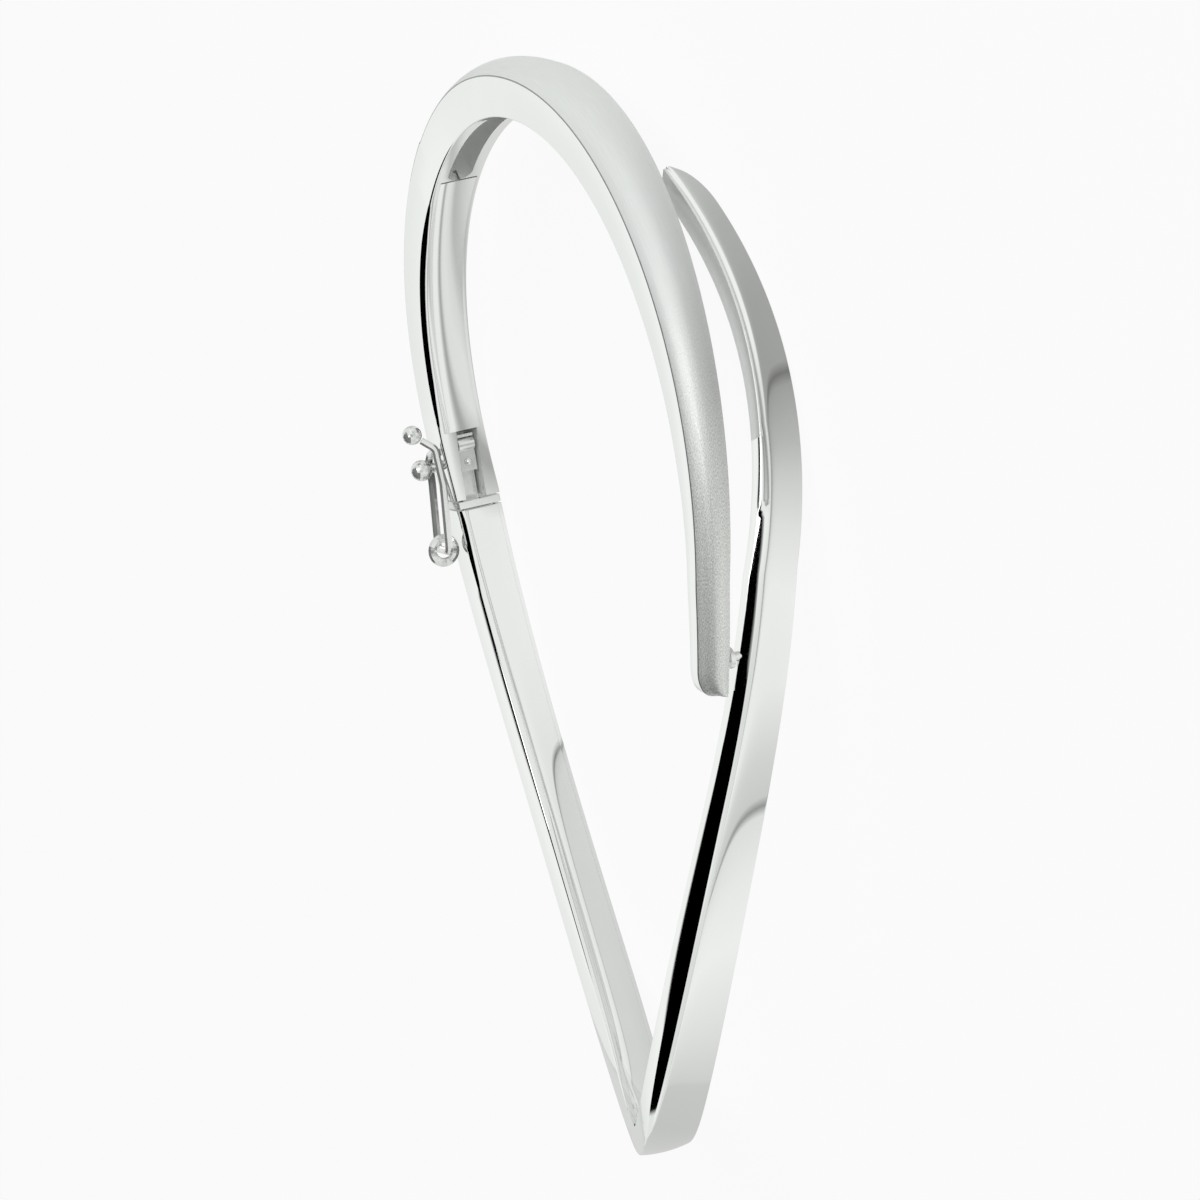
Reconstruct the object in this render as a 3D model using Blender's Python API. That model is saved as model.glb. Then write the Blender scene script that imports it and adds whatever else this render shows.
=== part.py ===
"""Hinged crossover bangle lying on a table.

Two half bands meet at a box clasp at the back (+Y) and pass each other at the front (-Y), where a
vertical pin joins them.  +X is the blunt end of the wrist opening and -X the pointed end.  The satin
half is fixed.  The polished half turns about the pin, and carries the clasp's tongue and the safety
catch that drops over a ball stud.  Shapes are worked out in millimetres and scaled to metres.
"""
import math

import bmesh
import bpy
import numpy as np

MM = 0.001

# Wrist opening, from the middle of the clasp.
BLUNT_HALF = 25.0
POINTED_HALF = 35.0
BACK_DEPTH = 24.0
FRONT_DEPTH = 24.7
SQUARENESS = 2.05

# Each half band: turn from the clasp (deg), lift of its centre, width, and depth from the
# wrist opening to the outer face.
SATIN_STATIONS = (
    (0, 0.00, 2.95, 2.60),
    (30, 1.10, 3.00, 2.80),
    (60, 1.40, 3.10, 3.00),
    (90, 1.70, 3.50, 2.80),
    (120, 2.45, 3.40, 2.95),
    (150, 3.80, 2.70, 2.65),
    (180, 5.65, 2.00, 1.60),
    (191, 6.55, 1.80, 1.35),
)
POLISHED_STATIONS = (
    (0, 0.00, 2.90, 2.60),
    (30, -0.65, 2.60, 2.20),
    (60, 0.75, 2.75, 2.30),
    (90, 4.45, 3.00, 1.90),
    (120, 7.85, 3.55, 1.60),
    (150, 6.80, 3.55, 1.40),
    (180, 1.75, 2.95, 1.20),
    (210, -0.90, 2.10, 1.80),
    (240, -0.40, 1.50, 1.85),
)
SATIN_TIP = 190.0
POLISHED_TIP = 235.0

# Edges.  A bevel is its rise towards the outside and its run across the band.
EDGE = 0.12
SATIN_BEVEL = (0.32, 0.38)
SATIN_BEVEL_STARTS = (45.0, 80.0)
BLADE_BEVEL = (0.55, 0.60)
BLADE_BEVEL_SPAN = (112.0, 198.0)
BLADE_LEAN_SPAN = (158.0, 172.0)
SATIN_CROWN = 0.45
POLISHED_CROWN = 0.14
CROWN_POINTS = 4
STATION_STEP = 3.0

# Soldered seams and running gaps.
SEAM = 0.12
LINER_THICK = 0.60
RIM_UPPER = 0.36
RIM_LOWER = 0.28
LINER_END = 53.0
CHANNEL_HALF = 0.80
CHANNEL_END = 170.0
LOWER_CORE_END = 104.0
LOWER_LINER_END = 100.0

# Box clasp: the satin half's end, the tongue's plate, and the tongue inside the box.
BOX_MOUTH_X = -0.60
WINDOW_END_X = 3.70
WINDOW_HALF = 0.68
BOX_DEPTH = 2.10
CLASP_LIFT = 0.08
PLATE_THICK = 0.42
TONGUE_HALF = 0.52
TONGUE_TIP_X = 3.38
BLADE_R = (1.05, 1.40)
SPRING_HEAD_R = 0.40
SPRING_HEAD = (2.72, 0.50)
SPRING_THICK = 0.24
SPRING_FREE_X = 1.05
BUTTON_X = 1.62
BUTTON_R = 0.24

# Pin hinge at the crossover.
HINGE_TURN = 187.0
HINGE_DEPTH = 0.70
PIN_R = 0.27
BORE_R = 0.36
PIN_BELOW = 1.00
PIN_ABOVE = 0.30
WASHER_R = 0.62

# Safety catch on the upper side faces.
STUD_X = 1.50
POST_R = 0.30
POST_HEIGHT = 0.66
STUD_BALL_R = 0.66
EYELET_X = -3.50
EYELET_RING_R = 0.75
EYELET_WIRE_R = 0.28
CATCH_WIRE_R = 0.24
CATCH_HALF = 0.94
CATCH_HEIGHT = 0.34
FINGER_BALL_R = 0.60
FINGER_BALL = (3.90, -0.40, 1.62)


# ---------------------------------------------------------------- curves and bands

def spline(xs, ys):
    """Natural cubic spline through (xs, ys), as a function."""
    count = len(xs)
    gaps = np.diff(xs)
    slopes = np.diff(ys) / gaps
    system = np.eye(count)
    right = np.zeros(count)
    for i in range(1, count - 1):
        system[i, i - 1:i + 2] = (gaps[i - 1], 2 * (gaps[i - 1] + gaps[i]), gaps[i])
        right[i] = 6 * (slopes[i] - slopes[i - 1])
    bend = np.linalg.solve(system, right)

    def value(x):
        i = int(np.clip(np.searchsorted(xs, x) - 1, 0, count - 2))
        before = x - xs[i]
        after = xs[i + 1] - x
        curved = (bend[i] * after ** 3 + bend[i + 1] * before ** 3) / (6 * gaps[i])
        straight_a = (ys[i] / gaps[i] - bend[i] * gaps[i] / 6) * after
        straight_b = (ys[i + 1] / gaps[i] - bend[i + 1] * gaps[i] / 6) * before
        return curved + straight_a + straight_b

    return value


def outline(angle):
    """Point of the wrist opening at an angle from the clasp, positive towards +X."""
    s = math.sin(math.radians(angle))
    c = math.cos(math.radians(angle))
    reach = (abs(s) ** SQUARENESS + abs(c) ** SQUARENESS) ** (-1 / SQUARENESS)
    x = (BLUNT_HALF if s > 0 else POINTED_HALF) * s * reach
    y = (BACK_DEPTH if c > 0 else FRONT_DEPTH) * c * reach
    return np.array((x, y))


def outward(angle):
    """Unit normal of the wrist opening, pointing away from the wrist."""
    along = outline(angle + 0.05) - outline(angle - 0.05)
    along /= np.linalg.norm(along)
    return np.array((-along[1], along[0]))


def turn_at_x(x):
    """Signed angle near the clasp where the wrist opening reaches x."""
    low, high = -40.0, 40.0
    for _ in range(50):
        middle = (low + high) / 2
        if outline(middle)[0] < x:
            low = middle
        else:
            high = middle
    return middle


class Band:
    """A half band swept round the wrist opening, with a section that changes along it."""

    def __init__(self, direction, stations, bevel, crown, tip, tip_length, tip_keep, tip_side):
        turns, lifts, widths, depths = np.array(stations, float).T
        self.direction = direction
        self.lift = spline(turns, lifts)
        self.width = spline(turns, widths)
        self.depth = spline(turns, depths)
        self.bevel = bevel
        self.crown = crown
        self.tip = tip
        self.tip_length = tip_length
        self.tip_keep = tip_keep
        self.tip_side = tip_side

    def place(self, turn, r, z):
        """World point at depth r outside the wrist opening and height z."""
        angle = self.direction * turn
        x, y = outline(angle) + self.direction_normal(angle) * r
        return (x, y, z)

    @staticmethod
    def direction_normal(angle):
        normal = outward(angle)
        return normal if np.dot(normal, outline(angle)) > 0 else -normal

    def edges(self, turn):
        """Lower and upper edge heights; the tip's corner is rounded off on one side."""
        half = self.width(turn) / 2
        low = self.lift(turn) - half
        high = self.lift(turn) + half
        into_tip = (turn - self.tip + self.tip_length) / self.tip_length
        if into_tip > 0:
            round_off = 1 - math.sqrt(max(0.0, 1 - min(into_tip, 1.0) ** 2))
            cut = (1 - self.tip_keep) * (high - low) * round_off
            if self.tip_side > 0:
                high -= cut
            else:
                low += cut
        return low, high

    def section(self, turn):
        """Closed section, from the inner face round the upper side, outer face and lower side."""
        low, high = self.edges(turn)
        outer = self.depth(turn)
        rise, run = self.bevel(turn)
        run = min(run, 0.4 * (high - low))
        side = outer - rise
        points = [(0, low + EDGE), (0, high - EDGE), (EDGE, high), (side, high)]
        start, end = high - run, low + EDGE
        for i in range(CROWN_POINTS + 2):
            share = i / (CROWN_POINTS + 1)
            hump = self.crown * (1 - (2 * share - 1) ** 2)
            points.append((outer + hump, start + (end - start) * share))
        points += [(outer - EDGE, low), (EDGE, low)]
        return [self.place(turn, r, z) for r, z in points]

    def slab(self, turn, r_low, r_high, z_low, z_high):
        """Rectangular section between two depths and two heights."""
        corners = ((r_low, z_low), (r_low, z_high), (r_high, z_high), (r_high, z_low))
        return [self.place(turn, r, z) for r, z in corners]


def satin_bevel(turn):
    start, full = SATIN_BEVEL_STARTS
    share = min(max((turn - start) / (full - start), 0.0), 1.0)
    return tuple(EDGE + (size - EDGE) * share for size in SATIN_BEVEL)


def blade_bevel(turn):
    start, end = BLADE_BEVEL_SPAN
    share = min(max((turn - start) / (end - start), 0.0), 1.0)
    swell = math.sin(math.pi * share) ** 0.8
    rise, run = (EDGE + (size - EDGE) * swell for size in BLADE_BEVEL)
    start, end = BLADE_LEAN_SPAN
    lean = min(max((turn - start) / (end - start), 0.0), 1.0)
    return rise * (1 - 0.45 * lean), run * (1 + 0.25 * lean)


SATIN = Band(1, SATIN_STATIONS, satin_bevel, SATIN_CROWN, SATIN_TIP, 2.6, 0.45, 1)
POLISHED = Band(-1, POLISHED_STATIONS, blade_bevel, POLISHED_CROWN, POLISHED_TIP, 7.0, 0.25, -1)


def turns_between(start, end, fine_tip=0.0):
    """Even stations, closing up over the last degrees where a tip is rounded."""
    body_end = end - fine_tip
    count = max(2, round(abs(body_end - start) / STATION_STEP) + 1)
    turns = list(np.linspace(start, body_end, count))
    if fine_tip:
        turns += [body_end + fine_tip * math.sin(math.radians(a)) for a in (18, 36, 54, 72, 90)]
    return turns


# ---------------------------------------------------------------- Blender helpers

def clear_scene():
    for item in list(bpy.data.objects):
        bpy.data.objects.remove(item, do_unlink=True)


def collection(name, cutter=False):
    group = bpy.data.collections.new(name)
    bpy.context.scene.collection.children.link(group)
    group.hide_render = cutter
    return group


def material(name, colour, roughness, metallic=1.0):
    finish = bpy.data.materials.new(name)
    finish.use_nodes = True
    shader = finish.node_tree.nodes["Principled BSDF"]
    shader.inputs["Base Color"].default_value = (*colour, 1.0)
    shader.inputs["Roughness"].default_value = roughness
    shader.inputs["Metallic"].default_value = metallic
    finish.diffuse_color = (*colour, 1.0)
    return finish


def empty(name, position, parent=None):
    """An axis or frame that parts hang from, at a world position in millimetres."""
    item = bpy.data.objects.new(name, None)
    item.empty_display_size = 2 * MM
    base = np.zeros(3) if parent is None else np.array(parent["at"])
    item.location = (np.array(position) - base) * MM
    item.parent = parent
    item["at"] = [float(v) for v in position]
    PARTS.objects.link(item)
    return item


def add_object(name, bm, parent, finish=None, group=None, sharp=32):
    """Turn a bmesh in world millimetres into an object under its parent empty."""
    base = np.array(parent["at"])
    for vert in bm.verts:
        vert.co = (np.array(vert.co) - base) * MM
    bmesh.ops.recalc_face_normals(bm, faces=bm.faces)
    mesh = bpy.data.meshes.new(name)
    bm.to_mesh(mesh)
    bm.free()
    mesh.shade_smooth()
    mesh.set_sharp_from_angle(angle=math.radians(sharp))
    item = bpy.data.objects.new(name, mesh)
    if finish:
        mesh.materials.append(finish)
    item.parent = parent
    (group or PARTS).objects.link(item)
    return item


def add_cutter(name, bm, parent):
    item = add_object(name, bm, parent, group=CUTTERS)
    item.hide_render = True
    item.display_type = "WIRE"
    return item


def combine(target, tool, operation="DIFFERENCE"):
    step = target.modifiers.new(tool.name, "BOOLEAN")
    step.operation = operation
    step.solver = "EXACT"
    step.object = tool


def loft(rings):
    """Solid through closed rings of equal length, capped at both ends."""
    bm = bmesh.new()
    rows = [[bm.verts.new(point) for point in ring] for ring in rings]
    count = len(rows[0])
    for one, two in zip(rows, rows[1:]):
        for i in range(count):
            j = (i + 1) % count
            bm.faces.new((one[i], one[j], two[j], two[i]))
    bm.faces.new(rows[0])
    bm.faces.new(list(reversed(rows[-1])))
    return bm


def block(low, high):
    bm = bmesh.new()
    bmesh.ops.create_cube(bm, size=1)
    low, high = np.array(low, float), np.array(high, float)
    for vert in bm.verts:
        vert.co = (low + high) / 2 + np.array(vert.co) * (high - low)
    return bm


def cylinder(radius, low, high, centre, segments=24):
    """Upright cylinder between two heights."""
    bm = bmesh.new()
    bmesh.ops.create_cone(bm, cap_ends=True, segments=segments, radius1=radius, radius2=radius,
                          depth=high - low)
    for vert in bm.verts:
        vert.co += type(vert.co)((centre[0], centre[1], (low + high) / 2))
    return bm


def turned(profile, centre, segments=24):
    """Solid turned about a vertical axis; the profile runs down from the top, first on the axis."""
    bm = bmesh.new()
    verts = [bm.verts.new((centre[0] + r, centre[1], z)) for r, z in profile]
    edges = [bm.edges.new(pair) for pair in zip(verts, verts[1:])]
    bmesh.ops.spin(bm, geom=verts + edges, cent=(*centre, 0), axis=(0, 0, 1),
                   angle=2 * math.pi, steps=segments)
    bmesh.ops.remove_doubles(bm, verts=bm.verts, dist=1e-4)
    return bm


def wire(name, points, radius, parent, finish, closed=False):
    """Round wire along a smooth route, made a closed mesh."""
    curve = bpy.data.curves.new(name, "CURVE")
    curve.dimensions = "3D"
    curve.bevel_depth = radius * MM
    curve.bevel_resolution = 2
    curve.use_fill_caps = True
    route = curve.splines.new("POLY")
    route.points.add(len(points) - 1)
    base = np.array(parent["at"])
    for spot, point in zip(route.points, points):
        spot.co = (*((np.array(point) - base) * MM), 1)
    route.use_cyclic_u = closed
    drawn = bpy.data.objects.new(name + "_route", curve)
    drawn.parent = parent
    PARTS.objects.link(drawn)
    bpy.context.view_layer.update()
    evaluated = drawn.evaluated_get(bpy.context.evaluated_depsgraph_get())
    mesh = bpy.data.meshes.new_from_object(evaluated)
    bm = bmesh.new()
    bm.from_mesh(mesh)
    bmesh.ops.remove_doubles(bm, verts=bm.verts, dist=1e-7)
    bmesh.ops.recalc_face_normals(bm, faces=bm.faces)
    bm.to_mesh(mesh)
    bm.free()
    mesh.shade_smooth()
    mesh.set_sharp_from_angle(angle=math.radians(40))
    mesh.materials.append(finish)
    item = bpy.data.objects.new(name, mesh)
    item.parent = parent
    item.matrix_local = drawn.matrix_local
    bpy.data.objects.remove(drawn, do_unlink=True)
    PARTS.objects.link(item)
    return item


def rounded_route(corners, radii, step=14.0):
    """Straight runs joined by arcs of the given radii, as points."""
    points = [np.array(corners[0], float)]
    for before, corner, after, radius in zip(corners, corners[1:], corners[2:], radii):
        corner = np.array(corner, float)
        to_before = np.array(before) - corner
        to_after = np.array(after) - corner
        to_before /= np.linalg.norm(to_before)
        to_after /= np.linalg.norm(to_after)
        opening = math.acos(float(np.clip(np.dot(to_before, to_after), -1, 1)))
        setback = radius / math.tan(opening / 2)
        middle = to_before + to_after
        centre = corner + middle / np.linalg.norm(middle) * radius / math.sin(opening / 2)
        start = corner + to_before * setback - centre
        end = corner + to_after * setback - centre
        sweep = math.pi - opening
        steps = max(2, math.ceil(math.degrees(sweep) / step))
        for i in range(steps + 1):
            share = i / steps
            a = math.sin((1 - share) * sweep) / math.sin(sweep)
            b = math.sin(share * sweep) / math.sin(sweep)
            points.append(centre + start * a + end * b)
    points.append(np.array(corners[-1], float))
    return points


# ---------------------------------------------------------------- the bands

def band_rings(band, start, end, fine_tip):
    return [band.section(turn) for turn in turns_between(start, end, fine_tip)]


def liner_rings(band, start, end, gap):
    """Strip that closes the inside of a band, or with no gap the seat that it lies in."""
    rings = []
    floor = LINER_THICK + (0 if gap else SEAM)
    roof = 0.0 if gap else -0.6
    for turn in turns_between(start, end):
        low, high = band.edges(turn)
        rings.append(band.slab(turn, roof, floor, low + RIM_LOWER + gap, high - RIM_UPPER - gap))
    return rings


def channel_rings(band, start, end, wall):
    """Hollow behind the liner, open towards the wrist where no liner covers it."""
    rings = []
    for turn in turns_between(start, end):
        middle = band.lift(turn)
        bottom = band.depth(turn) - wall
        low, high = middle - CHANNEL_HALF, middle + CHANNEL_HALF
        narrow = 0.5 * (band.width(turn) - 2 * CHANNEL_HALF) - 0.45
        if narrow < 0:
            low -= narrow
            high += narrow
        rings.append(band.slab(turn, -0.6, bottom, low, high))
    return rings


def make_satin_half(frame):
    mouth = turn_at_x(BOX_MOUTH_X)
    window = turn_at_x(WINDOW_END_X)
    shell = add_object("satin_shell", loft(band_rings(SATIN, mouth, SATIN_TIP, 2.6)), frame, SATIN_SILVER)
    back = outline(0)[1]
    window_block = block((BOX_MOUTH_X - 3, back - 3, CLASP_LIFT - WINDOW_HALF),
                         (WINDOW_END_X, back + BOX_DEPTH, CLASP_LIFT + WINDOW_HALF))
    combine(shell, add_cutter("clasp_window", window_block, frame))
    seat = loft(liner_rings(SATIN, window - 0.2, LINER_END, 0))
    combine(shell, add_cutter("satin_liner_seat", seat, frame))
    channel = loft(channel_rings(SATIN, window - 1.0, CHANNEL_END, 0.55))
    combine(shell, add_cutter("satin_channel", channel, frame))
    liner = loft(liner_rings(SATIN, window, LINER_END - 0.3, SEAM))
    add_object("satin_liner", liner, frame, POLISHED_SILVER)
    return shell


def make_polished_half(frame):
    start = -turn_at_x(BOX_MOUTH_X - PLATE_THICK - 2 * SEAM)
    shell = add_object("polished_shell", loft(band_rings(POLISHED, start, POLISHED_TIP, 7.0)),
                       frame, POLISHED_SILVER)
    seat = loft(liner_rings(POLISHED, start - 1, LOWER_LINER_END, 0))
    combine(shell, add_cutter("polished_liner_seat", seat, frame))
    core = loft(channel_rings(POLISHED, start - 1, LOWER_CORE_END, 0.70))
    combine(shell, add_cutter("polished_core", core, frame))
    liner = loft(liner_rings(POLISHED, start + 0.05, LOWER_LINER_END - 0.3, SEAM))
    add_object("polished_liner", liner, frame, POLISHED_SILVER)
    return shell


# ---------------------------------------------------------------- hinge

def hinge_position():
    x, y, _ = SATIN.place(HINGE_TURN, HINGE_DEPTH, 0)
    return x, y


def make_hinge(satin_shell, polished_shell, frame, moving):
    x, y = hinge_position()
    lower_turn = 360 - HINGE_TURN
    polished_top = POLISHED.edges(lower_turn)[1]
    polished_middle = POLISHED.lift(lower_turn)
    satin_low = SATIN.edges(HINGE_TURN)[0]
    satin_middle = SATIN.lift(HINGE_TURN)
    pin_low = polished_middle - PIN_BELOW
    pin_high = satin_middle + PIN_ABOVE
    upper_bore = cylinder(BORE_R, satin_low - 1, pin_high + SEAM, (x, y))
    combine(satin_shell, add_cutter("satin_bore", upper_bore, frame))
    lower_bore = cylinder(BORE_R, pin_low - SEAM, polished_top + 1.2, (x, y))
    combine(polished_shell, add_cutter("polished_bore", lower_bore, moving))
    add_object("hinge_pin", cylinder(PIN_R, pin_low, pin_high, (x, y)), frame, POLISHED_SILVER)
    gap = satin_low - polished_top
    washer = add_object("hinge_washer",
                        cylinder(WASHER_R, polished_top + 0.5 * gap, satin_low - 0.2 * gap, (x, y), 32),
                        frame, POLISHED_SILVER)
    hole = cylinder(BORE_R, polished_top - 1, satin_low + 1, (x, y))
    combine(washer, add_cutter("washer_hole", hole, frame))


# ---------------------------------------------------------------- box clasp

def make_tongue(moving):
    """End plate of the polished half, with a blade and an upturned end inside the box."""
    back = outline(0)[1]
    near = -turn_at_x(BOX_MOUTH_X - SEAM)
    far = -turn_at_x(BOX_MOUTH_X - SEAM - PLATE_THICK)
    tongue = add_object("clasp_tongue", loft([POLISHED.section(near), POLISHED.section(far)]),
                        moving, POLISHED_SILVER)
    low_r, high_r = BLADE_R
    blade = block((BOX_MOUTH_X - SEAM - PLATE_THICK / 2, back + low_r, CLASP_LIFT - TONGUE_HALF),
                  (TONGUE_TIP_X, back + high_r, CLASP_LIFT + TONGUE_HALF))
    combine(tongue, add_cutter("tongue_blade", blade, moving), "UNION")
    upturn = block((TONGUE_TIP_X - 0.18, back + 0.25, CLASP_LIFT - TONGUE_HALF),
                   (TONGUE_TIP_X, back + low_r + 0.1, CLASP_LIFT + TONGUE_HALF))
    combine(tongue, add_cutter("tongue_upturn", upturn, moving), "UNION")


def make_spring(axis):
    """Leaf with a rolled head; its free end is pressed towards the blade."""
    back = outline(0)[1]
    head_x, head_r = SPRING_HEAD
    bottom = head_r + SPRING_THICK / 2
    top = head_r - SPRING_THICK / 2
    join = math.degrees(math.asin(SPRING_THICK / 2 / SPRING_HEAD_R))
    profile = []
    for i in range(17):
        angle = math.radians(180 - join - (360 - 2 * join) * i / 16)
        profile.append((head_x + SPRING_HEAD_R * math.cos(angle),
                        head_r + SPRING_HEAD_R * math.sin(angle)))
    profile += [(SPRING_FREE_X, top), (SPRING_FREE_X, bottom)]
    rings = []
    for z in (CLASP_LIFT - TONGUE_HALF, CLASP_LIFT + TONGUE_HALF):
        rings.append([(x, back + r, z) for x, r in profile])
    add_object("clasp_spring", loft(rings), axis, POLISHED_SILVER)
    dome = [(BUTTON_R * math.sin(math.radians(a)), BUTTON_R * math.cos(math.radians(a)))
            for a in range(0, 91, 15)]
    dome.append((0.0, 0.0))
    bm = turned(dome, (0, 0), 20)
    for vert in bm.verts:
        x, y, z = vert.co
        vert.co = (BUTTON_X + x, back + top - 0.05 - z, CLASP_LIFT + y)
    add_object("clasp_button", bm, axis, POLISHED_SILVER)


# ---------------------------------------------------------------- safety catch

def side_middle(band, x):
    """Middle of a band's upper side face near the clasp."""
    turn = abs(turn_at_x(x))
    high = band.edges(turn)[1]
    return np.array(band.place(turn, band.depth(turn) / 2, high))


def make_stud(frame):
    """Post and ball on the box's upper side."""
    x, y, face = side_middle(SATIN, STUD_X)
    foot = face + SEAM
    centre = face + POST_HEIGHT + math.sqrt(STUD_BALL_R ** 2 - POST_R ** 2)
    profile = []
    stop = 180 - math.degrees(math.asin(POST_R / STUD_BALL_R))
    for i in range(11):
        angle = math.radians(stop * i / 10)
        profile.append((STUD_BALL_R * math.sin(angle), centre + STUD_BALL_R * math.cos(angle)))
    profile += [(POST_R, foot), (0.0, foot)]
    add_object("catch_stud", turned(profile, (x, y)), frame, POLISHED_SILVER, sharp=50)


def catch_pivot():
    x, y, face = side_middle(POLISHED, EYELET_X)
    return np.array((x, y, face + EYELET_RING_R + EYELET_WIRE_R + 0.10))


def make_eyelet(moving):
    centre = catch_pivot()
    ring = []
    for i in range(28):
        angle = 2 * math.pi * i / 28
        ring.append(centre + EYELET_RING_R * np.array((math.cos(angle), 0, math.sin(angle))))
    wire("catch_eyelet", ring, EYELET_WIRE_R, moving, POLISHED_SILVER, closed=True)


def make_catch(axis):
    """Hairpin wire: crossbar in the eyelet, two strands, a loop round the stud, a finger end."""
    pivot = catch_pivot()
    stud = side_middle(SATIN, STUD_X)
    level = stud[2] + CATCH_HEIGHT
    near_y, far_y = stud[1] - CATCH_HALF, stud[1] + CATCH_HALF
    ball = np.array((FINGER_BALL[0], stud[1] + FINGER_BALL[1], stud[2] + FINGER_BALL[2]))
    lift_off = np.array((STUD_X + 1.35, near_y + 0.10, level + 0.10))
    toward = ball - lift_off
    toward /= np.linalg.norm(toward)
    route = rounded_route(
        [ball - toward * (FINGER_BALL_R + 0.06), lift_off, (STUD_X - 0.9, near_y, level),
         (pivot[0], pivot[1] - CATCH_HALF, pivot[2]), (pivot[0], pivot[1] + CATCH_HALF, pivot[2]),
         (STUD_X - 0.9, far_y, level), (STUD_X, far_y, level)],
        [0.5, 1.2, 0.32, 0.32, 1.2])
    for i in range(1, 9):
        angle = math.radians(90 - 105 * i / 8)
        route.append(np.array((STUD_X + CATCH_HALF * math.cos(angle),
                               stud[1] + CATCH_HALF * math.sin(angle), level)))
    wire("safety_catch", route, CATCH_WIRE_R, axis, POLISHED_SILVER)
    sphere = bmesh.new()
    bmesh.ops.create_uvsphere(sphere, u_segments=20, v_segments=12, radius=FINGER_BALL_R)
    for vert in sphere.verts:
        vert.co += type(vert.co)(ball)
    add_object("catch_ball", sphere, axis, POLISHED_SILVER, sharp=60)


# ---------------------------------------------------------------- assembly

def rest_on_table(frame):
    """Shift the whole bangle so that its box is centred on the origin and stands on z = 0."""
    bpy.context.view_layer.update()
    graph = bpy.context.evaluated_depsgraph_get()
    corners = []
    for item in PARTS.objects:
        if item.type == "MESH":
            mesh = item.evaluated_get(graph).to_mesh()
            corners += [item.matrix_world @ vert.co for vert in mesh.vertices]
    corners = np.array(corners)
    low, high = corners.min(axis=0), corners.max(axis=0)
    frame.location = (-(low[0] + high[0]) / 2, -(low[1] + high[1]) / 2, -low[2])


clear_scene()
PARTS = collection("bangle")
CUTTERS = collection("cutters", cutter=True)
POLISHED_SILVER = material("polished_silver", (0.93, 0.93, 0.92), 0.06)
SATIN_SILVER = material("satin_silver", (0.86, 0.87, 0.86), 0.38)

FRAME = empty("bangle_frame", (0, 0, 0))
HINGE_AXIS = empty("hinge_axis", (*hinge_position(), POLISHED.lift(360 - HINGE_TURN)), FRAME)
SPRING_AXIS = empty("spring_axis", (SPRING_HEAD[0], outline(0)[1] + SPRING_HEAD[1], CLASP_LIFT),
                    HINGE_AXIS)
CATCH_AXIS = empty("catch_axis", catch_pivot(), HINGE_AXIS)

satin_shell = make_satin_half(FRAME)
polished_shell = make_polished_half(HINGE_AXIS)
make_hinge(satin_shell, polished_shell, FRAME, HINGE_AXIS)
make_tongue(HINGE_AXIS)
make_spring(SPRING_AXIS)
make_stud(FRAME)
make_eyelet(HINGE_AXIS)
make_catch(CATCH_AXIS)
rest_on_table(FRAME)
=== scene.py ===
"""Looks for the hinged crossover bangle: fine polished and satin surfaces on a pale table.

The two half bands are lofted again from the design's own rules, finely enough for mirror polish.
Shapes are worked out in millimetres, in the design's frame, and scaled to metres with the origin
moved to the middle of the bangle's box, on the table.
"""
import math

import bmesh
import bpy
import numpy as np
from mathutils import Matrix, Vector


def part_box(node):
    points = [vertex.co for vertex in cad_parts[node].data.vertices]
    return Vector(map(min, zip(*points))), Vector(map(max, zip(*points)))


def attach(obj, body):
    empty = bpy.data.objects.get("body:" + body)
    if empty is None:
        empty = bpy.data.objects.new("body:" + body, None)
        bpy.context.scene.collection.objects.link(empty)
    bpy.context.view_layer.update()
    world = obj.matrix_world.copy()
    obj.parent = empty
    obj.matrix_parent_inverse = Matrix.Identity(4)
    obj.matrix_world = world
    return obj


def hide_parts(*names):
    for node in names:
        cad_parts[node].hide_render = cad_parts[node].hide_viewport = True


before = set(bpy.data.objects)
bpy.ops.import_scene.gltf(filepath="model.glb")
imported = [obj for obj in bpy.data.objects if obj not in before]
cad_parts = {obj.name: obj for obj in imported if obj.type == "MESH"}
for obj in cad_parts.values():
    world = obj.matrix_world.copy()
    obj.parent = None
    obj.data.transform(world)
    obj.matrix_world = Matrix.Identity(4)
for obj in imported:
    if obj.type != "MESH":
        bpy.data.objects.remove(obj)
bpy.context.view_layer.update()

MM = 0.001

# The design's driving dimensions, in millimetres.
BLUNT_HALF = 25.0
POINTED_HALF = 35.0
BACK_DEPTH = 24.0
FRONT_DEPTH = 24.7
SQUARENESS = 2.05
SATIN_STATIONS = (
    (0, 0.00, 2.95, 2.60),
    (30, 1.10, 3.00, 2.80),
    (60, 1.40, 3.10, 3.00),
    (90, 1.70, 3.50, 2.80),
    (120, 2.45, 3.40, 2.95),
    (150, 3.80, 2.70, 2.65),
    (180, 5.65, 2.00, 1.60),
    (191, 6.55, 1.80, 1.35),
)
POLISHED_STATIONS = (
    (0, 0.00, 2.90, 2.60),
    (30, -0.65, 2.60, 2.20),
    (60, 0.75, 2.75, 2.30),
    (90, 4.45, 3.00, 1.90),
    (120, 7.85, 3.55, 1.60),
    (150, 6.80, 3.55, 1.40),
    (180, 1.75, 2.95, 1.20),
    (210, -0.90, 2.10, 1.80),
    (240, -0.40, 1.50, 1.85),
)
SATIN_TIP = 190.0
POLISHED_TIP = 235.0
EDGE = 0.12
SATIN_BEVEL = (0.32, 0.38)
SATIN_BEVEL_STARTS = (45.0, 80.0)
BLADE_BEVEL = (0.55, 0.60)
BLADE_BEVEL_SPAN = (112.0, 198.0)
BLADE_LEAN_SPAN = (158.0, 172.0)
SATIN_CROWN = 0.45
POLISHED_CROWN = 0.14
SEAM = 0.12
DRAWN_SEAM = 0.002
SATIN_SOFT = 0.05
BLADE_SOFT = 0.05
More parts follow.
